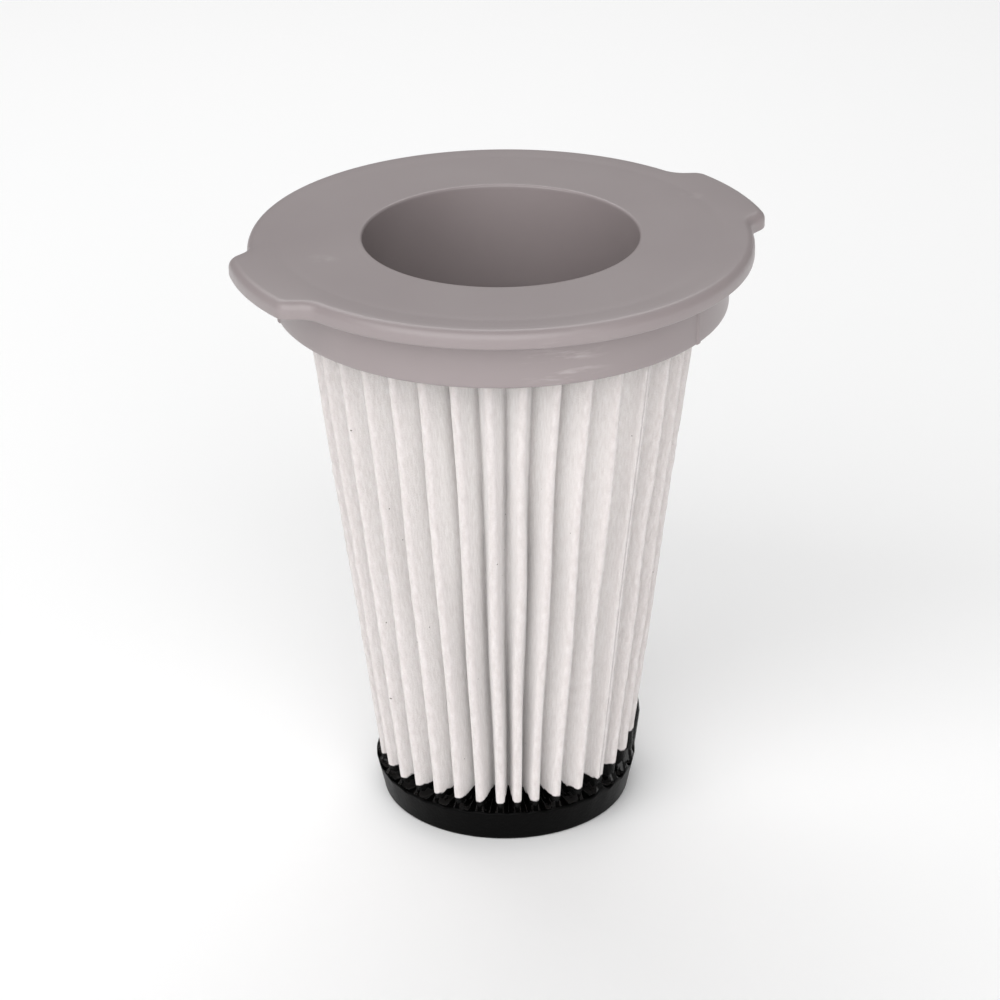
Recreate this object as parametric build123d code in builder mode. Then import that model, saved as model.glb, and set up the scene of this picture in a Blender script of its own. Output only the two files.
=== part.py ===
from build123d import *
from math import asin, cos, hypot, pi, radians, sin, tan
import os

# A conical pleated vacuum filter, standing on its closed end.
# Millimetres; Z runs up the axis, the two finger tabs point along X.

overall_height = 104.0

# moulded frame
flange_diameter = 84.0
flange_thickness = 3.0
flange_top_round = 1.9  # soft outer edge of the upper face
flange_under_bevel = 0.3
tab_reach = 3.6  # how far a tab stands out past the flange
tab_width = 24.4  # half way up its sloping sides
tab_side_angle = 52.0
tab_corner_round = 3.2
tab_root_round = 4.0
throat_diameter = 46.0
throat_edge_bevel = 0.8
sleeve_wall = 1.4
sleeve_depth = 20.0  # from the upper face down
collar_diameter = 75.8
collar_wall = 1.8
collar_drop = 8.3  # below the flange
collar_end_bevel = 0.5  # inner edge of its mouth
rib_width = 0.8
rib_height = 0.2  # stands proud of the collar
rib_angles = (-7.0, -57.0)  # each with its twin on the far side

# folded cloth
pleat_count = 34
cloth_thickness = 0.65
pleat_depth = 6.7
pack_top_diameter = 66.4
pack_foot_diameter = 44.2
first_pleat_angle = 249.3
pleat_wander = 1.2  # degrees a fold strays from even spacing
wander_crest = 217.5
seam_pleat = 4  # the pleat that is the glued fin
seam_fin = 2.4  # length over which both ends lie together
pack_sections = 6  # the flanks twist a little from foot to top

# casting resin at both ends
top_potting_depth = 5.6
cloth_top_gap = 1.0  # resin between cloth and flange
cap_height = 6.6
cap_foot_diameter = 43.6
cap_rim_diameter = 46.8
cap_foot_bevel = 0.5
cap_floor = 3.4  # resin under the cloth

flange_radius = flange_diameter / 2
throat_radius = throat_diameter / 2
collar_radius = collar_diameter / 2
flange_under = overall_height - flange_thickness
cloth_top = flange_under - cloth_top_gap
cloth_foot = cap_floor


def edges_at(part, height, radius):
    # round edges about the axis at this height and radius
    found = part.edges().filter_by(GeomType.CIRCLE)
    return found.filter_by(lambda e: abs(e.center().Z - height) < 0.01 and abs(e.radius - radius) < 0.01)


with BuildPart() as top_frame:
    # flange with its two tabs
    with BuildSketch(Plane.XY.offset(flange_under)) as flange_outline:
        with PolarLocations(flange_radius + tab_reach / 2, 2):
            spread = 4 * tab_reach / tan(radians(tab_side_angle)) / 2
            Trapezoid(tab_width + 2 * spread, 4 * tab_reach, tab_side_angle, rotation=-90)
        Circle(flange_radius + tab_reach, mode=Mode.INTERSECT)
        Circle(flange_radius)
        tips = [v for v in flange_outline.vertices() if hypot(v.X, v.Y) > flange_radius + tab_reach / 2]
        fillet(tips, tab_corner_round)
        roots = [v for v in flange_outline.vertices() if abs(hypot(v.X, v.Y) - flange_radius) < 0.01]
        fillet(roots, tab_root_round)
    extrude(amount=flange_thickness)
    chamfer(top_frame.edges().group_by(Axis.Z)[0], flange_under_bevel)
    # the soft upper edge, as two bevels that follow a quarter round
    for inward, down in ((tan(pi / 8), 1.0), (1 - tan(pi / 8), (1 - cos(pi / 4)) / cos(pi / 8))):
        upper = top_frame.faces().sort_by(Axis.Z)[-1]
        chamfer(upper.edges(), flange_top_round * inward, flange_top_round * down, reference=upper)
    # collar and its ribs
    with BuildSketch(Plane.XY.offset(flange_under)):
        Circle(collar_radius)
        for angle in rib_angles:
            with PolarLocations(collar_radius, 2, start_angle=angle):
                Rectangle(2 * rib_height, rib_width)
        Circle(collar_radius - collar_wall, mode=Mode.SUBTRACT)
    extrude(amount=-collar_drop)
    # sleeve that lines the throat
    with BuildSketch(Plane.XY.offset(flange_under)):
        Circle(throat_radius + sleeve_wall)
    extrude(amount=-(sleeve_depth - flange_thickness))
    with BuildSketch(Plane.XY.offset(overall_height)):
        Circle(throat_radius)
    extrude(amount=-sleeve_depth, mode=Mode.SUBTRACT)
    chamfer(edges_at(top_frame.part, overall_height, throat_radius), throat_edge_bevel)
    chamfer(edges_at(top_frame.part, flange_under - collar_drop, collar_radius - collar_wall), collar_end_bevel)
top_frame.part.label = "top_frame"


def polar(radius, angle):
    return Vector(radius * cos(radians(angle)), radius * sin(radians(angle)))


def fold_angle(half_step):
    # even half steps are tips, odd ones the valleys between; the spacing is a little open and close by turns
    turn = first_pleat_angle + half_step * 180.0 / pleat_count
    return turn + pleat_wander * cos(radians(4 * (turn - wander_crest)))


def pleat_line(tip_radius, outside):
    # one face of the folded cloth: sharp in each crease, with a blunt pressed nose over it
    folds = 2 * pleat_count
    valley_radius = tip_radius - pleat_depth
    creases = [
        polar(tip_radius - cloth_thickness if i % 2 == 0 else valley_radius + cloth_thickness, fold_angle(i))
        for i in range(folds)
    ]

    def shoulder(i, j, nose):
        # where the flat nose of fold i meets the flank towards fold j, one thickness off the crease both ways
        along = (creases[j % folds] - creases[i]).normalized()
        lean = asin(cloth_thickness / (creases[j % folds] - creases[i]).length)
        side = Vector(-along.Y, along.X) * (-1 if (j > i) == (i % 2 == 0) else 1)
        face = along * sin(lean) + side * cos(lean)
        return creases[i] + (nose + face) * (cloth_thickness / (1 + nose.dot(face)))

    points = []
    for i in range(folds):
        outward = polar(1.0, fold_angle(i))
        is_tip = i % 2 == 0
        if i == 2 * seam_pleat:
            # both ends of the strip lie together as a fin, cut square at its tip
            half = Vector(-outward.Y, outward.X) * cloth_thickness
            crest, root = outward * tip_radius, outward * (tip_radius - seam_fin)
            turn = [root - half, crest - half, crest + half, root + half] if outside else [root]
        elif is_tip != outside:
            turn = [creases[i]]
        else:
            nose = outward if is_tip else outward * -1
            turn = [shoulder(i, i - 1, nose), shoulder(i, i + 1, nose)]
        if points:
            Line(points[-1], turn[0])
        if len(turn) > 1:
            Polyline(*turn)
        points += turn
    Line(points[-1], points[0])


with BuildPart() as pleated_media:
    for outside in (True, False):
        for step in range(pack_sections):
            share = step / (pack_sections - 1)
            with BuildSketch(Plane.XY.offset(cloth_foot + share * (cloth_top - cloth_foot))):
                with BuildLine():
                    pleat_line((pack_foot_diameter + share * (pack_top_diameter - pack_foot_diameter)) / 2, outside)
                make_face()
        loft(ruled=True, mode=Mode.ADD if outside else Mode.SUBTRACT)
pleated_media.part.label = "pleated_media"

with BuildPart() as top_potting:
    with BuildSketch(Plane.XY.offset(flange_under)):
        Circle(collar_radius - collar_wall)
        Circle(throat_radius + sleeve_wall, mode=Mode.SUBTRACT)
    extrude(amount=-top_potting_depth)
    add(pleated_media.part, mode=Mode.SUBTRACT)
top_potting.part.label = "top_potting"

with BuildPart() as end_cap:
    with BuildSketch(Plane.XZ):
        with BuildLine():
            Polyline(
                (0, 0),
                (cap_foot_diameter / 2, 0),
                (cap_rim_diameter / 2, cap_height),
                (0, cap_height),
                close=True,
            )
        make_face()
    revolve(axis=Axis.Z)
    chamfer(edges_at(end_cap.part, 0, cap_foot_diameter / 2), cap_foot_bevel)
    add(pleated_media.part, mode=Mode.SUBTRACT)
end_cap.part.label = "end_cap"

os.makedirs("parts", exist_ok=True)
export_step(top_frame.part, "parts/top_frame.step")
export_step(pleated_media.part, "parts/pleated_media.step")
export_step(top_potting.part, "parts/top_potting.step")
export_step(end_cap.part, "parts/end_cap.step")
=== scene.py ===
import bpy
import numpy as np
from mathutils import Matrix


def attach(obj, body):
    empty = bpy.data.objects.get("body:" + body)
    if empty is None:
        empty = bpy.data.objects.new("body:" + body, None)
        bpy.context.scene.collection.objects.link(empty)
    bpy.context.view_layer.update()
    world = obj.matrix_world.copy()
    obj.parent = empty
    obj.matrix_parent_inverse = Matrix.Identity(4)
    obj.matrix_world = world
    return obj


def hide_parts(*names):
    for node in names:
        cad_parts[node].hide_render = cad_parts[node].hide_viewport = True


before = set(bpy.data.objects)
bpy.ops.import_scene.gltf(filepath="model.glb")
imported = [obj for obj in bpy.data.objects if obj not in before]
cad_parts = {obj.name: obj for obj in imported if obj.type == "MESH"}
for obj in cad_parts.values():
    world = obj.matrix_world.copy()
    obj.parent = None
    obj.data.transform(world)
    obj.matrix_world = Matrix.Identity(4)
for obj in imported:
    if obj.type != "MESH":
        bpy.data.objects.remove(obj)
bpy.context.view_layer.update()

# Conical vacuum filter: grey moulded frame, white folded cloth, black cast foot.
# Sizes are in millimetres, angles in degrees; meshes are turned to metres as they are made.
mm = 0.001
rng = np.random.default_rng(11)


def linear(hexColour):
    # sRGB hex to linear light, with full alpha
    srgb = np.array([int(hexColour[i:i + 2], 16) for i in (1, 3, 5)]) / 255
    value = np.where(srgb <= 0.04045, srgb / 12.92, ((srgb + 0.055) / 1.055) ** 2.4)
    return (*value.tolist(), 1.0)


def fillNode(tree, node, values=None, links=None):
    # fixed values on some inputs, and what is linked to others
    for socket, value in (values or {}).items():
        node.inputs[socket].default_value = value
    for socket, source in (links or {}).items():
        tree.links.new(source, node.inputs[socket])


def addNode(tree, kind, values=None, links=None, **settings):
    node = tree.nodes.new("ShaderNode" + kind)
    for name, value in settings.items():
        setattr(node, name, value)
    fillNode(tree, node, values, links)
    return node


def noise(tree, vector, size, detail, roughness=0.5, turn=None):
    # noise with grains of this size in millimetres; with a turn, three sizes give slanting streaks
    scale = 1.0
    if turn is None:
        scale = 1 / (size * mm)
    else:
        stretch = [1 / (one * mm) for one in size]
        vector = addNode(tree, "Mapping", {"Rotation": turn, "Scale": stretch}, {"Vector": vector}).outputs[0]
    values = {"Scale": scale, "Detail": detail, "Roughness": roughness}
    return addNode(tree, "TexNoise", values, {"Vector": vector}).outputs[0]


def ramp(tree, value, low, high, start=0.0, end=1.0):
    # runs from start to end as the value goes from low to high
    return addNode(tree, "MapRange", {1: low, 2: high, 3: start, 4: end}, {0: value}).outputs[0]


def reckon(tree, operation, *terms):
    # arithmetic on sockets and plain numbers
    values = {i: term for i, term in enumerate(terms) if isinstance(term, float)}
    links = {i: term for i, term in enumerate(terms) if not isinstance(term, float)}
    return addNode(tree, "Math", values, links, operation=operation).outputs[0]


def blend(tree, share, first, second, kind="MIX"):
    # from the first colour to the second by share; a colour is a socket or fixed
    pair = {6: first, 7: second}
    values = {i: colour for i, colour in pair.items() if isinstance(colour, tuple)}
    links = {i: colour for i, colour in pair.items() if not isinstance(colour, tuple)}
    return addNode(tree, "Mix", values, {0: share, **links}, data_type="RGBA", blend_type=kind).outputs[2]


def newMaterial(name):
    material = bpy.data.materials.new(name)
    material.use_nodes = True
    tree = material.node_tree
    return material, tree, tree.nodes["Principled BSDF"]


def makeMesh(name, points, quads, materials, faceMaterial=None):
    # points in millimetres and quads as index rows become one smooth object at the origin
    mesh = bpy.data.meshes.new(name)
    points = np.ascontiguousarray(points.reshape(-1, 3) * mm, dtype=np.float32)
    mesh.vertices.add(len(points))
    mesh.vertices.foreach_set("co", points.ravel())
    mesh.loops.add(quads.size)
    mesh.loops.foreach_set("vertex_index", quads.ravel().astype(np.int32))
    mesh.polygons.add(len(quads))
    mesh.polygons.foreach_set("loop_start", np.arange(0, quads.size, 4, dtype=np.int32))
    mesh.polygons.foreach_set("use_smooth", np.ones(len(quads), dtype=bool))
    if faceMaterial is not None:
        mesh.polygons.foreach_set("material_index", faceMaterial.astype(np.int32))
    mesh.update(calc_edges=True)
    for material in materials:
        mesh.materials.append(material)
    piece = bpy.data.objects.new(name, mesh)
    bpy.context.scene.collection.objects.link(piece)
    return piece


def addAttribute(piece, name, values):
    # one value per vertex, for the material to read
    data = piece.data.attributes.new(name, "FLOAT", "POINT").data
    data.foreach_set("value", values.astype(np.float32).ravel())


def gridQuads(rows, cols, joined=False):
    # corner numbers of the quads of a grid whose columns close round; joined also leads the last row to the first
    index = np.arange(rows * cols).reshape(rows, cols)
    index = np.concatenate([index, index[:, :1]], axis=1)
    if joined:
        index = np.concatenate([index, index[:1]])
    return np.stack([index[:-1, :-1], index[:-1, 1:], index[1:, 1:], index[1:, :-1]], axis=-1).reshape(-1, 4)


def unit(angle):
    # unit vectors at these angles in radians
    return np.stack([np.cos(angle), np.sin(angle)], axis=-1)


def leftOf(vector):
    # the vectors after a quarter turn to the left
    return np.stack([-vector[..., 1], vector[..., 0]], axis=-1)


def raised(plan, height):
    # rows and columns of plan points, with their heights as third coordinate
    height = np.broadcast_to(height, plan.shape[:2])
    return np.concatenate([plan, height[..., None]], axis=-1)


# the grey frame: flange with two finger tabs, collar with fine ribs, and the sleeve in the throat
mould = {
    "flangeRadius": 42.0, "top": 104.0, "under": 101.0, "edgeRound": 1.5, "lowerRound": 0.35,
    "throatRadius": 23.0, "throatRound": 0.45, "sleeveRadius": 24.4, "sleeveEnd": 84.0,
    "collarRadius": 37.9, "collarInside": 36.1, "collarEnd": 92.7, "smallRound": 0.4,
    "tabReach": 3.6, "tabHalf": 12.2, "tabSlope": 52.0, "tabCorner": 3.2, "tabRoot": 4.0,
    # distance from the axis at which a bearing counts as a distance across the tab
    "tabArm": 43.8,
    "ribs": (-59.0, -10.0, 121.0, 170.0), "ribWidth": 0.8, "ribHeight": 0.3, "ribFlank": 0.16,
    # a faint round sink mark in the flange, over the collar
    "sink": 0.025, "sinkRadius": 37.0, "sinkWidth": 0.9, "sinkFrom": 34.6, "sinkTo": 39.4,
    # columns round the axis, and how far they are set closer on each side of a tab or a rib
    "around": 480, "tabSpan": 24.0, "ribSpan": 1.6,
    # distance from a corner to the next row of points, so that the shading stays tight
    "faceRow": 0.4, "boreRow": 0.5, "boreEndRow": 2.0, "wallRow": 1.0, "cornerRow": 0.6,
}


def tabDrop(spec, lateral):
    # how far the outline has fallen from a tab's crest at this distance from its middle: a convex arc, a straight
    # slope and a concave arc, one after the other
    reach, corner, root = spec["tabReach"], spec["tabCorner"], spec["tabRoot"]
    slope = np.radians(spec["tabSlope"])
    swing = np.linspace(0, slope, 12)
    straight = spec["tabHalf"] - (reach / 2 - corner * (1 - np.cos(slope))) / np.tan(slope)
    cornerFrom = straight - corner * np.sin(slope)
    fall = reach - (corner + root) * (1 - np.cos(slope))
    rootTo = straight + fall / np.tan(slope) + root * np.sin(slope)
    across = np.concatenate([cornerFrom + corner * np.sin(swing), rootTo - root * np.sin(swing[::-1])])
    drop = np.concatenate([corner * (1 - np.cos(swing)), reach - root * (1 - np.cos(swing[::-1]))])
    return np.interp(np.abs(lateral), across, drop)


def quarter(radius, height, size, start, stop, count=4):
    # points of a round edge in the profile plane: its centre, its size and the angles between which it swings
    return np.array([radius, height]) + size * unit(np.radians(np.linspace(start, stop, count)))


def upright(radius, heights):
    # points of a straight wall in the profile plane
    return np.stack([np.full(len(heights), radius), heights], axis=-1)


def makeFrame(spec, material):
    # A closed profile carried once round the axis. Its flange edge keeps to the tabbed outline, set in along the
    # outline's own normal; everything nearer the axis is round.
    ribs = np.array(spec["ribs"])
    evenly = np.linspace(0, 360, spec["around"], endpoint=False)
    nearRibs = ribs[:, None] + np.linspace(-spec["ribSpan"], spec["ribSpan"], 17)
    nearTabs = np.array([0.0, 180.0])[:, None] + np.linspace(-spec["tabSpan"], spec["tabSpan"], 97)
    degrees = np.unique(np.round(np.concatenate([evenly, nearRibs.ravel(), nearTabs.ravel()]) % 360, 3))
    bearing = np.radians(degrees)
    ray = unit(bearing)
    crest = spec["flangeRadius"] + spec["tabReach"]
    outline = (crest - tabDrop(spec, spec["tabArm"] * np.sin(bearing)))[:, None] * ray
    tangent = np.roll(outline, -1, axis=0) - np.roll(outline, 1, axis=0)
    edgeNormal = -leftOf(tangent) / np.linalg.norm(tangent, axis=1, keepdims=True)

    top, under, small = spec["top"], spec["under"], spec["smallRound"]
    bore, soft, edge, low = spec["throatRadius"], spec["throatRound"], spec["edgeRound"], spec["lowerRound"]
    rim, collar, inside, foot = spec["flangeRadius"], spec["collarRadius"], spec["collarInside"], spec["collarEnd"]
    sleeve, end, near, wall = spec["sleeveRadius"], spec["sleeveEnd"], spec["cornerRow"], spec["wallRow"]
    face = np.concatenate([
        np.linspace(bore + soft + spec["faceRow"], spec["sinkFrom"] - near, 6),
        np.linspace(spec["sinkFrom"], spec["sinkTo"], 17),
    ])
    sink = spec["sink"] * np.exp(-((face - spec["sinkRadius"]) / spec["sinkWidth"]) ** 2)
    trough = np.array([
        [inside, under - near], [inside, under], [inside - near, under],
        [sleeve + near, under], [sleeve, under], [sleeve, under - near],
    ])
    # each stretch of the profile, and whether it follows the tabbed outline
    stretches = [
        (quarter(bore + small, end + small, small, 270, 180), False),
        (upright(bore, np.linspace(end + spec["boreEndRow"], top - soft - spec["boreRow"], 6)), False),
        (quarter(bore + soft, top - soft, soft, 180, 90, 7), False),
        (np.stack([face, top - sink], axis=-1), False),
        (quarter(rim - edge, top - edge, edge, 90, 0, 9), True),
        (quarter(rim - low, under + low, low, 0, -90), True),
        (quarter(collar + small, under - small, small, 90, 180), False),
        (upright(collar, np.linspace(under - wall, foot + wall, 5)), False),
        (quarter(collar - small, foot + small, small, 0, -90), False),
        (quarter(inside + small, foot + small, small, 270, 180), False),
        (trough, False),
        (quarter(sleeve - small, end + small, small, 0, -90), False),
    ]
    profile = np.concatenate([stretch for stretch, _ in stretches])
    onEdge = np.concatenate([np.full(len(stretch), tabbed) for stretch, tabbed in stretches])
    # ribs are low flat-topped ridges on the collar's outer wall and its lower round
    away = np.abs((degrees[:, None] - ribs + 180) % 360 - 180).min(axis=1)
    halfRib = (spec["ribWidth"] + spec["ribFlank"]) / 2
    ridge = np.clip((halfRib - np.radians(away) * collar) / spec["ribFlank"], 0, 1)
    slack = 0.01
    onWall = (profile[:, 0] > collar - small - slack) & (profile[:, 0] < collar + slack) & (profile[:, 1] < under)
    radial = profile[:, :1] + onWall[:, None] * spec["ribHeight"] * ridge
    circular = radial[..., None] * ray
    tabbed = outline - (rim - profile[:, 0])[:, None, None] * edgeNormal
    points = raised(np.where(onEdge[:, None, None], tabbed, circular), profile[:, 1:])
    quads = gridQuads(len(profile), len(bearing), joined=True)
    return makeMesh("mouldedFrame", points, quads[:, ::-1], [material])


# injection-moulded ABS, satin from the tool: broad soft highlights, a faint grain and a few pale rub marks;
# the tool's grain is finer than a pixel and is drawn coarser, so that it shows
framePlastic = {
    "colour": "#8b8182", "paler": "#938a8a", "flow": 22.0, "roughness": (0.3, 0.39), "ior": 1.53,
    "grain": 0.35, "bump": 0.06, "bumpHeight": 0.05,
    # rub marks: streaks about 1 mm by 7 mm that fade out from the middle of each mark
    "rubbed": "#b3abab", "rubStreak": (20 / 3, 20 / 3, 10 / 9), "rubTurn": (0.5, 0.0, 0.3),
    "rubLevels": (0.5, 0.66), "rubCore": 0.2,
    # middle, radius and strength of each mark
    "rubs": [((-6.9, -37.3, 97.0), 8.5, 0.5), ((-30.5, 3.0, 104.0), 3.2, 0.4), ((36.1, 0.9, 104.0), 3.0, 0.35)],
}


def makeFramePlastic(spec):
    material, tree, shader = newMaterial("moulded grey ABS")
    place = addNode(tree, "TexCoord").outputs["Object"]
    flow = noise(tree, place, spec["flow"], 3.0)
    colour = blend(tree, flow, linear(spec["colour"]), linear(spec["paler"]))
    streak = noise(tree, place, spec["rubStreak"], 3.0, 0.6, spec["rubTurn"])
    lines = ramp(tree, streak, *spec["rubLevels"])
    for middle, radius, strength in spec["rubs"]:
        centre = [value * mm for value in middle]
        away = addNode(tree, "VectorMath", {1: centre}, {0: place}, operation="DISTANCE").outputs["Value"]
        near = ramp(tree, away, spec["rubCore"] * radius * mm, radius * mm, strength, 0.0)
        colour = blend(tree, reckon(tree, "MULTIPLY", near, lines), colour, linear(spec["rubbed"]))
    grain = noise(tree, place, spec["grain"], 2.0)
    bump = addNode(tree, "Bump", {"Strength": spec["bump"], "Distance": spec["bumpHeight"] * mm}, {"Height": grain})
    rough = ramp(tree, flow, 0.0, 1.0, *spec["roughness"])
    links = {"Base Color": colour, "Roughness": rough, "Normal": bump.outputs[0]}
    fillNode(tree, shader, {"IOR": spec["ior"]}, links)
    return material


framePiece = makeFrame(mould, makeFramePlastic(framePlastic))
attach(framePiece, "root")
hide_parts("top_frame")
print("frame: flange, tabs, collar and sleeve in one moulding")

# the cloth: one strip folded in even pleats and closed by a glued fin
cloth = {
    "pleats": 34, "thickness": 0.62, "foldRadius": 0.42, "depth": 6.7,
    "foot": 3.6, "top": 99.9, "footRadius": 21.9, "topRadius": 33.9,
    "seamTip": 4, "fin": 2.4,
    # how the creases in front stray from even spacing, in the foot and in the collar
    "firstTip": 249.0, "front": 244.5, "crowding": 4.2, "crowdSpan": 14.0, "crowdFrom": 3.0, "footTurn": 0.8,
    "topTurn": 1.6, "topSpread": -0.07, "fade": 58.0, "fadeFrom": -18.0, "footLevel": 8.0, "topLevel": 85.0,
    # unevenness: creases that sway and run in and out, flanks that bulge, crests that fray
    "sway": 0.2, "swayPeriod": (38.0, 90.0), "reachSway": 0.5, "reachPeriod": 0.8,
    "bulge": 0.16, "puffDrift": 0.8, "puffPeriod": 61.0, "puffPhase": 6.3, "fray": 0.05,
    "rows": 70, "arcPoints": 5, "flankPoints": 4, "finPoints": 4,
    # rise and fall of the value that tells the material how far into a fold a point lies, and so how much painted
    # fold light it gets
    "inRise": 1.5, "outPower": 6,
}


def coneRadius(z):
    # outer radius over the tips, straight from foot to top
    share = (z - cloth["foot"]) / (cloth["top"] - cloth["foot"])
    return cloth["footRadius"] + share * (cloth["topRadius"] - cloth["footRadius"])


def creaseBearing(spec, even, height):
    # Bearing of the creases in degrees. They start evenly spaced; in front they crowd together in the foot as a tanh
    # of the angle, and are turned and drawn in a little in the collar. In between each crease is a straight line.
    off = (even - spec["front"] + 180) % 360 - 180
    fade = np.exp(-((off - spec["fadeFrom"]) / spec["fade"]) ** 4)
    inFoot = spec["footTurn"] - spec["crowding"] * np.tanh((off - spec["crowdFrom"]) / spec["crowdSpan"])
    inTop = spec["topTurn"] + spec["topSpread"] * off
    share = (height - spec["footLevel"]) / (spec["topLevel"] - spec["footLevel"])
    return even + fade * (inFoot + share * (inTop - inFoot))


def foldedStrip(spec, z):
    # Middle line of the cloth at the heights z, as (rows, columns, 2), with the unit normal of its outer side.
    # Folds are circles, alternately out at the tips and in at the valleys; each flank is the straight line that
    # touches the outside of one and the inside of the next. The strip starts and ends on the two sides of the fin.
    count = 2 * spec["pleats"]
    number = np.arange(2 * spec["seamTip"], 2 * spec["seamTip"] + count + 1)
    isTip = number % 2 == 0
    even = spec["firstTip"] + number * 180 / spec["pleats"]
    phase, period = rng.uniform(0, 2 * np.pi, (2, len(number))), rng.uniform(*spec["swayPeriod"], len(number))
    phase[:, -1], period[-1] = phase[:, 0], period[0]
    height = z[:, None]
    tipRadius = coneRadius(height)
    # held in resin at both ends, free to stray in between
    free = np.sin(np.pi * (height - spec["foot"]) / (spec["top"] - spec["foot"]))
    swing = spec["sway"] * free * np.sin(2 * np.pi * height / period + phase[0])
    turn = np.radians(creaseBearing(spec, even, height)) + swing / tipRadius
    halfCloth = spec["thickness"] / 2
    nose = spec["foldRadius"] + halfCloth
    inOut = np.sin(2 * np.pi * height / (spec["reachPeriod"] * period) + phase[1])
    reach = np.where(isTip, tipRadius - nose, tipRadius - spec["depth"] + nose)
    reach = reach + spec["reachSway"] * spec["sway"] * free * inOut
    reach[:, 1:-1] += spec["fray"] * free * rng.standard_normal((len(z), len(number) - 2))
    radius = np.full(len(number), spec["foldRadius"])
    outward = unit(turn)
    across = leftOf(outward)
    centre = reach[..., None] * outward
    # the two ends of the strip lie side by side in the fin
    radius[[0, -1]] = 0.0
    root = tipRadius - spec["fin"]
    centre[:, 0] = root * outward[:, 0] + halfCloth * across[:, 0]
    centre[:, -1] = root * outward[:, -1] - halfCloth * across[:, -1]
    # flanks, each from its touching point on one fold to that on the next
    step = centre[:, 1:] - centre[:, :-1]
    length = np.linalg.norm(step, axis=-1, keepdims=True)
    along = step / length
    lean = np.arcsin((radius[:-1] + radius[1:])[:, None] / length)
    sign = np.where(isTip[:-1], -1.0, 1.0)[:, None]
    touch = along * np.sin(lean) + leftOf(along) * sign * np.cos(lean)
    start = centre[:, :-1] + touch * radius[:-1, None]
    end = centre[:, 1:] - touch * radius[1:, None]
    share = ((np.arange(spec["flankPoints"]) + 1) / (spec["flankPoints"] + 1))[:, None]
    flank = start[:, :, None] + share * (end - start)[:, :, None]
    flankNormal = np.repeat((-touch * sign)[:, :, None], spec["flankPoints"], axis=2)
    puff = rng.uniform(-1, 1, count)
    drift = np.sin(2 * np.pi * height / spec["puffPeriod"] + rng.uniform(0, spec["puffPhase"], count))
    swell = spec["bulge"] * free * (puff + spec["puffDrift"] * drift)
    flank = flank + flankNormal * swell[..., None, None] * np.sin(np.pi * share)
    # arcs over the inner folds, swinging from the flank before to the flank after
    first = np.arctan2(-touch[:, :-1, 1], -touch[:, :-1, 0])
    last = np.arctan2(touch[:, 1:, 1], touch[:, 1:, 0])
    tips = isTip[1:-1]
    swept = np.where(tips, (last - first) % (2 * np.pi), -((first - last) % (2 * np.pi)))
    ray = unit(first[..., None] + swept[..., None] * np.linspace(0, 1, spec["arcPoints"]))
    arc = centre[:, 1:-1, None] + spec["foldRadius"] * ray
    arcNormal = ray * np.where(tips, 1.0, -1.0)[:, None, None]
    body = np.concatenate([flank[:, :-1], arc], axis=2).reshape(len(z), -1, 2)
    bodyNormal = np.concatenate([flankNormal[:, :-1], arcNormal], axis=2).reshape(len(z), -1, 2)
    lift = np.linspace(0, spec["fin"], spec["finPoints"])[:, None]
    finStart = centre[:, :1] + lift[::-1] * outward[:, :1]
    finEnd = centre[:, -1:] + lift * outward[:, -1:]
    startNormal = np.repeat(across[:, :1], spec["finPoints"], axis=1)
    endNormal = np.repeat(-across[:, -1:], spec["finPoints"], axis=1)
    line = np.concatenate([finStart, body, flank[:, -1], finEnd], axis=1)
    normals = np.concatenate([startNormal, bodyNormal, flankNormal[:, -1], endNormal], axis=1)
    return line, normals


# where resin has crept up the cloth: level round the front, higher on one side, with a coat on the tips up there
creep = {
    "line": 7.8, "rise": 4.5, "spread": 40.0, "lobe": 4.8, "lobeSpread": 12.0, "towards": -20.5,
    "coat": 0.7, "coatFrom": 2.0, "coatOver": 6.0, "coatEdge": 2.5, "coatDepth": 0.5,
}


def blackLine(bearing):
    # height of the black edge on the cloth: a broad hump with a narrow one on it, over the bearing it rises towards
    off = (np.degrees(bearing) - creep["towards"] + 180) % 360 - 180
    hump = creep["rise"] * np.exp(-(off / creep["spread"]) ** 2)
    return creep["line"] + hump + creep["lobe"] * np.exp(-(off / creep["lobeSpread"]) ** 2)


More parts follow.
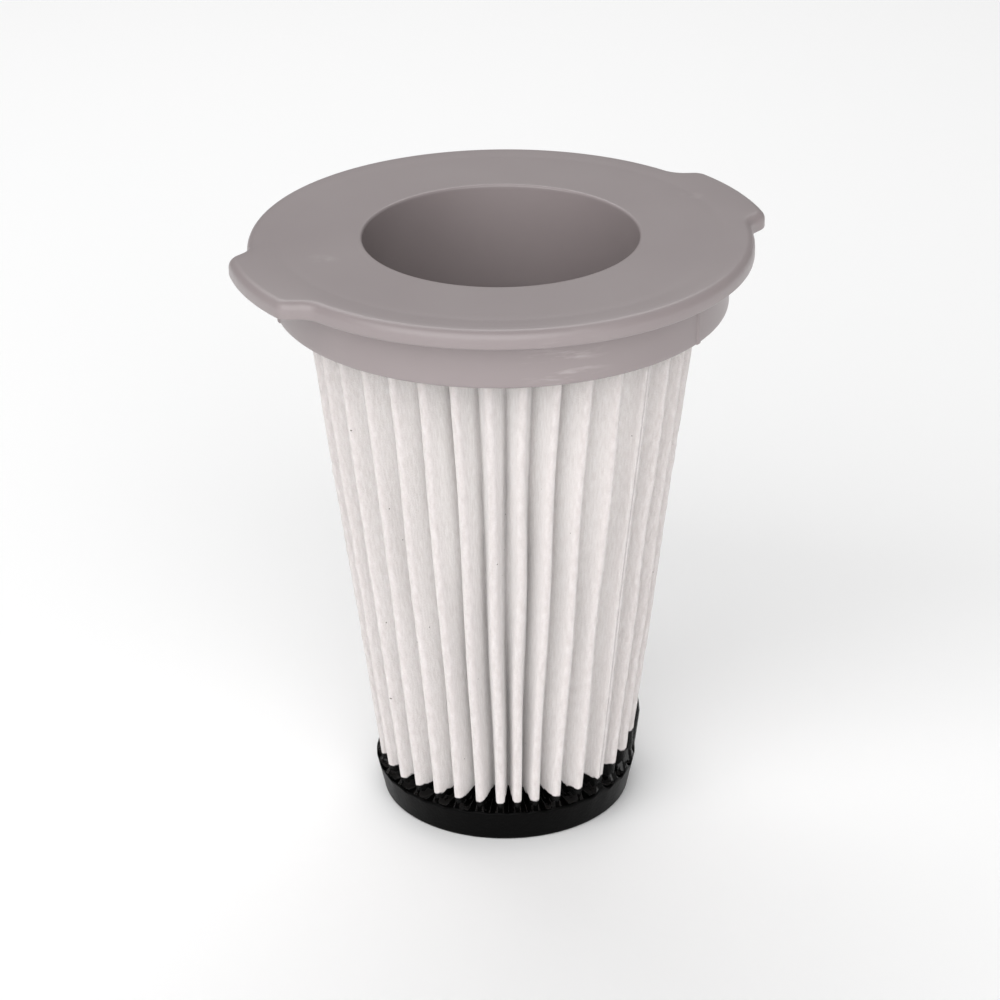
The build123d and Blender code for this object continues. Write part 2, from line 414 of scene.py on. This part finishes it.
def makeCloth(spec, material):
    # the strip's outer and inner side, half the thickness off its middle line, joined to one closed loop per row
    z = np.linspace(spec["foot"], spec["top"], spec["rows"])
    line, normal = foldedStrip(spec, z)
    half = spec["thickness"] / 2
    loop = np.concatenate([line + half * normal, (line - half * normal)[:, ::-1]], axis=1)
    black = blackLine(np.arctan2(loop[..., 1], loop[..., 0]))
    soak = z[:, None] - black
    far = np.hypot(loop[..., 0], loop[..., 1])
    depth = ((coneRadius(z)[:, None] - far) / spec["depth"]).clip(0, 1)
    # soaked tips carry a coat of resin where it has crept high, thickest on the tips themselves
    high = ((black - creep["line"] - creep["coatFrom"]) / creep["coatOver"]).clip(0, 1)
    onTip = (1 - depth / creep["coatDepth"]).clip(0, 1)
    coat = creep["coat"] * high * (-soak / creep["coatEdge"]).clip(0, 1) * onTip
    loop = loop * (1 + coat / far)[..., None]
    points = raised(loop, z[:, None])
    rows, cols = points.shape[:2]
    strip = np.arange(cols // 2 - 1)
    cap = np.stack([strip, cols - 1 - strip, cols - 2 - strip, strip + 1], axis=-1)
    quads = np.concatenate([gridQuads(rows, cols), cap, cap[:, ::-1] + (rows - 1) * cols])
    piece = makeMesh("pleatedCloth", points, quads, [material])
    # the cloth's own flat coordinates: length along the strip and height, in metres
    middle = line[rows // 2]
    run = np.concatenate([[0], np.cumsum(np.linalg.norm(np.diff(middle, axis=0), axis=1))])
    along = np.broadcast_to(np.concatenate([run, run[::-1]]), (rows, cols))
    flat = np.stack([along, points[..., 2]], axis=-1) * mm
    corner = np.empty(len(piece.data.loops), dtype=np.int32)
    piece.data.loops.foreach_get("vertex_index", corner)
    layer = piece.data.uv_layers.new(name="clothFlat")
    layer.data.foreach_set("uv", flat.reshape(-1, 2)[corner].astype(np.float32).ravel())
    # for the material: millimetres above the black edge, and a value that peaks on the flanks far down in the folds,
    # which sets the painted fold light
    addAttribute(piece, "soak", soak)
    addAttribute(piece, "inFold", (spec["inRise"] * depth).clip(0, 1) * (1 - depth ** spec["outPower"]))
    return piece, run[-1]


# spun polyester nonwoven: matt white, lets light through, soft streaks of fibre and a felted grain;
# single fibres are finer than a pixel, so streaks and grain are drawn coarser to show
clothLook = {
    # the third colour is painted light, the whiter colour of the flanks far down in the folds
    "white": "#dfdad9", "shade": "#ebe9e8", "paintedFoldLight": "#fffdfc",
    "streak": (0.45, 2.2, 1.0), "lean": 38.0, "grain": 0.3, "grainShare": 0.5, "shadeLevels": (0.95, 0.5),
    "bump": 0.8, "bumpHeight": 0.3, "streakBump": 0.6,
    "roughness": 0.92, "specular": 0.2, "glow": 0.25, "glowDepth": 1.0, "glowColours": (1.0, 0.95, 0.92),
    # a few dark specks
    "speck": "#6f6866", "speckPitch": 2.2, "speckSize": 0.17, "speckCore": 0.6, "speckRare": 0.78,
    # cloth soaked with resin is black and wet-looking, with a ragged edge
    "black": "#050505", "wetRoughness": 0.16, "ragged": 1.6, "raggedLevels": (0.25, 0.75), "raggedHeight": 0.4,
    "edgeHalf": 0.12,
}


def makeClothLook(spec):
    material, tree, shader = newMaterial("spun polyester nonwoven")
    flat = addNode(tree, "UVMap", uv_map="clothFlat").outputs[0]
    streak = noise(tree, flat, spec["streak"], 4.0, 0.6, (0, 0, np.radians(spec["lean"])))
    grain = noise(tree, flat, spec["grain"], 5.0, 0.7)
    felt = reckon(tree, "MULTIPLY_ADD", grain, spec["grainShare"], streak)
    tone = ramp(tree, felt, *spec["shadeLevels"])
    # painted light: the flanks far down in the folds get a whiter colour, standing in for light that passes through
    # the cloth from both sides
    inFold = addNode(tree, "Attribute", attribute_name="inFold").outputs["Fac"]
    foldLitColour = blend(tree, inFold, linear(spec["white"]), linear(spec["paintedFoldLight"]))
    white = blend(tree, tone, foldLitColour, linear(spec["shade"]), "MULTIPLY")
    # one dot in each cell, kept in few of them
    cells = addNode(tree, "TexVoronoi", {"Scale": 1 / (spec["speckPitch"] * mm)}, {"Vector": flat})
    size = spec["speckSize"] / spec["speckPitch"]
    dot = ramp(tree, cells.outputs["Distance"], spec["speckCore"] * size, size, 1.0, 0.0)
    few = reckon(tree, "GREATER_THAN", cells.outputs["Color"], spec["speckRare"])
    flecked = blend(tree, reckon(tree, "MULTIPLY", dot, few), white, linear(spec["speck"]))
    # clean is 1 above the black edge and 0 below it
    soak = addNode(tree, "Attribute", attribute_name="soak").outputs["Fac"]
    ragged = noise(tree, flat, spec["ragged"], 4.0)
    edge = ramp(tree, ragged, *spec["raggedLevels"], -spec["raggedHeight"], spec["raggedHeight"])
    clean = ramp(tree, reckon(tree, "ADD", soak, edge), -spec["edgeHalf"], spec["edgeHalf"])
    colour = blend(tree, clean, linear(spec["black"]), flecked)
    rough = ramp(tree, clean, 0.0, 1.0, spec["wetRoughness"], spec["roughness"])
    glow = ramp(tree, clean, 0.0, 1.0, 0.0, spec["glow"])
    height = reckon(tree, "MULTIPLY_ADD", streak, spec["streakBump"], grain)
    bump = addNode(tree, "Bump", {"Strength": spec["bump"], "Distance": spec["bumpHeight"] * mm}, {"Height": height})
    values = {
        "Specular IOR Level": spec["specular"], "Diffuse Roughness": 1.0,
        "Subsurface Radius": spec["glowColours"], "Subsurface Scale": spec["glowDepth"] * mm,
    }
    links = {"Base Color": colour, "Roughness": rough, "Subsurface Weight": glow, "Normal": bump.outputs[0]}
    fillNode(tree, shader, values, links)
    return material


clothPiece, stripLength = makeCloth(cloth, makeClothLook(clothLook))
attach(clothPiece, "root")
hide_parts("pleated_media")
print("cloth: %d pleats from a strip %.0f mm long" % (cloth["pleats"], stripLength))


def clothGap(plan, height):
    # distance from each plan point to the middle line of the cloth at this height, folds drawn without unevenness
    line, _ = foldedStrip(dict(cloth, sway=0.0, bulge=0.0, fray=0.0), np.array([height]))
    return np.linalg.norm(plan[:, :, None] - line[0, ::2][None, None], axis=-1).min(axis=2)


def wetting(gap, touching, reach):
    # resin drawn to the cloth: 1 where they touch, then falling as exp(-distance / reach)
    return np.exp(-np.maximum(gap - touching, 0) / reach)


# the cast foot: smooth wall from the mould, free surface that climbs every fold
foot = {
    "baseRadius": 21.8, "rimRadius": 23.0, "height": 6.3, "edgeRound": 0.7, "around": 612,
    "baseRings": (0.0, 8.0, 16.0), "wallFrom": 0.15, "wallRows": 7,
    "level": 5.5, "climb": 1.5, "reach": 0.75, "creepShare": 0.5,
    "innerRings": 26, "innerFrom": 0.992, "ringPower": 0.8,
    # the rim dips between the folds and comes up where a tip is near
    "rimDip": 0.35, "rimClimb": 0.5, "rimGap": 0.6,
}


def makeFoot(spec, materials):
    # A profile carried once round the axis. The wall runs from the centre of the base out over a rounded edge and up
    # to the rim; the free surface runs back to the centre, and rises towards the cloth as exp(-distance / reach).
    bearing = np.linspace(0, 2 * np.pi, spec["around"], endpoint=False)
    ray = unit(bearing)
    edge = quarter(spec["baseRadius"] - spec["edgeRound"], spec["edgeRound"], spec["edgeRound"], -90, 0, 6)
    rise = np.linspace(spec["wallFrom"], 1, spec["wallRows"])[:, None]
    wall = edge[-1] + rise * (np.array([spec["rimRadius"], spec["height"]]) - edge[-1])
    base = np.stack([spec["baseRings"], np.zeros(len(spec["baseRings"]))], axis=-1)
    profile = np.concatenate([base, edge, wall])
    inner = spec["rimRadius"] * np.linspace(spec["innerFrom"], 0.0, spec["innerRings"]) ** spec["ringPower"]
    ring = inner[:, None, None] * ray
    gap = clothGap(ring, spec["height"])
    climb = spec["climb"] + spec["creepShare"] * (blackLine(bearing) - creep["line"])
    lid = raised(ring, spec["level"] + climb * wetting(gap, cloth["thickness"] / 2, spec["reach"]))
    rimLift = spec["rimClimb"] * wetting(gap[0], spec["rimGap"], spec["reach"]) - spec["rimDip"]
    upWall = (profile[:, 1] - edge[-1, 1]).clip(0) / (spec["height"] - edge[-1, 1])
    shell = raised(profile[:, :1, None] * ray, profile[:, 1:] + upWall[:, None] * rimLift)
    points = np.concatenate([shell, lid])
    isFree = np.repeat(np.arange(len(points) - 1) >= len(shell), spec["around"])
    return makeMesh("castFoot", points, gridQuads(len(points), spec["around"]), materials, isFree)


# black casting resin: satin where the mould wall shaped it, wet-looking where it set in the open
resinLook = {"cloud": 3.0, "ripple": 0.5, "bump": 0.45, "bumpHeight": 0.12, "ior": 1.5}
fromMould = {"name": "black resin from the mould", "colour": "#050505", "roughness": (0.29, 0.39), "shine": 0.05}
inOpen = {"name": "black resin set in the open", "colour": "#040404", "roughness": (0.04, 0.1), "shine": 0.3}


def makeResin(spec, side):
    material, tree, shader = newMaterial(side["name"])
    place = addNode(tree, "TexCoord").outputs["Object"]
    rough = ramp(tree, noise(tree, place, spec["cloud"], 4.0), 0.0, 1.0, *side["roughness"])
    ripple = noise(tree, place, spec["ripple"], 2.0)
    bump = addNode(tree, "Bump", {"Strength": spec["bump"], "Distance": spec["bumpHeight"] * mm}, {"Height": ripple})
    values = {"Base Color": linear(side["colour"]), "IOR": spec["ior"], "Specular IOR Level": side["shine"]}
    fillNode(tree, shader, values, {"Roughness": rough, "Normal": bump.outputs[0]})
    return material


mouldedResin = makeResin(resinLook, fromMould)
setResin = makeResin(resinLook, inOpen)
footPiece = makeFoot(foot, [mouldedResin, setResin])
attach(footPiece, "root")
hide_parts("end_cap")

# the ring of resin that holds the folds in the collar, seen only from below
pottingRing = {
    "inside": 24.4, "outside": 36.1, "top": 101.0, "level": 95.4, "climb": 0.7, "reach": 0.6,
    "around": 612, "rings": 22,
}


def makeRing(spec, material):
    # a square-cut ring whose lower face hangs down towards the cloth as exp(-distance / reach)
    ray = unit(np.linspace(0, 2 * np.pi, spec["around"], endpoint=False))
    face = np.linspace(spec["outside"], spec["inside"], spec["rings"])[:, None, None] * ray
    gap = clothGap(face, spec["level"])
    drop = spec["climb"] * wetting(gap, cloth["thickness"] / 2, spec["reach"])
    points = np.concatenate([raised(face, spec["level"] - drop), raised(face[[-1, 0]], spec["top"])])
    return makeMesh("pottingRing", points, gridQuads(len(points), spec["around"], joined=True), [material])


ringPiece = makeRing(pottingRing, setResin)
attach(ringPiece, "root")
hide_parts("top_potting")
print("resin: cast foot and the ring in the collar")

# floor and light: a white sweep under an even sky
studio = {"floor": "#fbfbfb", "floorSize": 12.0, "floorRoughness": 0.9, "sky": 0.27}


def makeStudio(spec):
    half = spec["floorSize"] / 2
    mesh = bpy.data.meshes.new("studioFloor")
    mesh.from_pydata([(-half, -half, 0), (half, -half, 0), (half, half, 0), (-half, half, 0)], [], [(0, 1, 2, 3)])
    floor = bpy.data.objects.new("studioFloor", mesh)
    bpy.context.scene.collection.objects.link(floor)
    material, tree, shader = newMaterial("white paper sweep")
    values = {"Base Color": linear(spec["floor"]), "Roughness": spec["floorRoughness"], "Specular IOR Level": 0.0}
    fillNode(tree, shader, values)
    mesh.materials.append(material)
    world = bpy.data.worlds.new("studio")
    world.use_nodes = True
    fillNode(world.node_tree, world.node_tree.nodes["Background"], {"Color": (1, 1, 1, 1), "Strength": spec["sky"]})
    bpy.context.scene.world = world


# One large panel in front, two low strips on the right and one panel behind, each given by its bearing from the
# camera's line, its lift, and its distance and size in metres. The strips only fill, and don't show as lines of
# light in the glossy edges.
panels = {
    "keyPanel": {"bearing": -16, "lift": 33, "far": 1.2, "size": (2.1, 1.33), "power": 21.0, "mirrored": True},
    "sideStrip": {"bearing": 58, "lift": 0, "far": 1.3, "size": (1.15, 0.09), "power": 2.6, "mirrored": False},
    "rearStrip": {"bearing": 140, "lift": 0, "far": 1.3, "size": (1.45, 0.09), "power": 4.4, "mirrored": False},
    "backPanel": {"bearing": -168, "lift": 53, "far": 0.9, "size": (0.9, 0.5), "power": 3.5, "mirrored": True},
}
# height that they are aimed at
panelAim = 55.0
# the camera, fitted to the rims in the photo
view = {
    "turn": -25.5, "back": 507.8, "aside": -0.6, "up": 302.3, "pitch": 25.97, "roll": -0.58,
    "lens": 118.2, "sensor": 36.0, "nearest": 10.0,
}


def aimed(position, target, roll=0.0):
    # matrix of a camera or lamp at position that looks at target, both in metres
    back = (position - target) / np.linalg.norm(position - target)
    right = np.cross([0, 0, 1.0], back)
    right /= np.linalg.norm(right)
    up = np.cross(back, right)
    lean = np.radians(roll)
    matrix = np.eye(4)
    matrix[:3, 0] = np.cos(lean) * right + np.sin(lean) * up
    matrix[:3, 1] = np.cos(lean) * up - np.sin(lean) * right
    matrix[:3, 2], matrix[:3, 3] = back, position
    return Matrix(matrix.tolist())


def makePanel(name, spec):
    lamp = bpy.data.lights.new(name, "AREA")
    lamp.shape = "RECTANGLE"
    lamp.size, lamp.size_y = spec["size"]
    lamp.energy = spec["power"]
    panel = bpy.data.objects.new(name, lamp)
    bearing, lift = np.radians(view["turn"] - 90 + spec["bearing"]), np.radians(spec["lift"])
    direction = np.append(np.cos(lift) * unit(bearing), np.sin(lift))
    middle = np.array([0, 0, panelAim * mm])
    panel.matrix_world = aimed(middle + spec["far"] * direction, middle)
    panel.visible_glossy = spec["mirrored"]
    bpy.context.scene.collection.objects.link(panel)


def makeCamera(spec):
    # set back along the view's bearing, then pitched down
    turn, pitch = np.radians(spec["turn"]), np.radians(spec["pitch"])
    right = np.append(unit(turn), 0.0)
    ahead = np.append(leftOf(unit(turn)), 0.0)
    above = np.array([0, 0, 1.0])
    place = (-spec["back"] * ahead + spec["aside"] * right + spec["up"] * above) * mm
    look = np.cos(pitch) * ahead - np.sin(pitch) * above
    camera = bpy.data.cameras.new("photoCamera")
    camera.lens, camera.sensor_width = spec["lens"], spec["sensor"]
    camera.clip_start = spec["nearest"] * mm
    holder = bpy.data.objects.new("photoCamera", camera)
    holder.matrix_world = aimed(place, place + look, spec["roll"])
    bpy.context.scene.collection.objects.link(holder)
    bpy.context.scene.camera = holder


makeStudio(studio)
for panelName, panelSpec in panels.items():
    makePanel(panelName, panelSpec)
makeCamera(view)
bpy.context.scene.view_settings.view_transform = "Standard"
print("studio: floor, panels and camera")
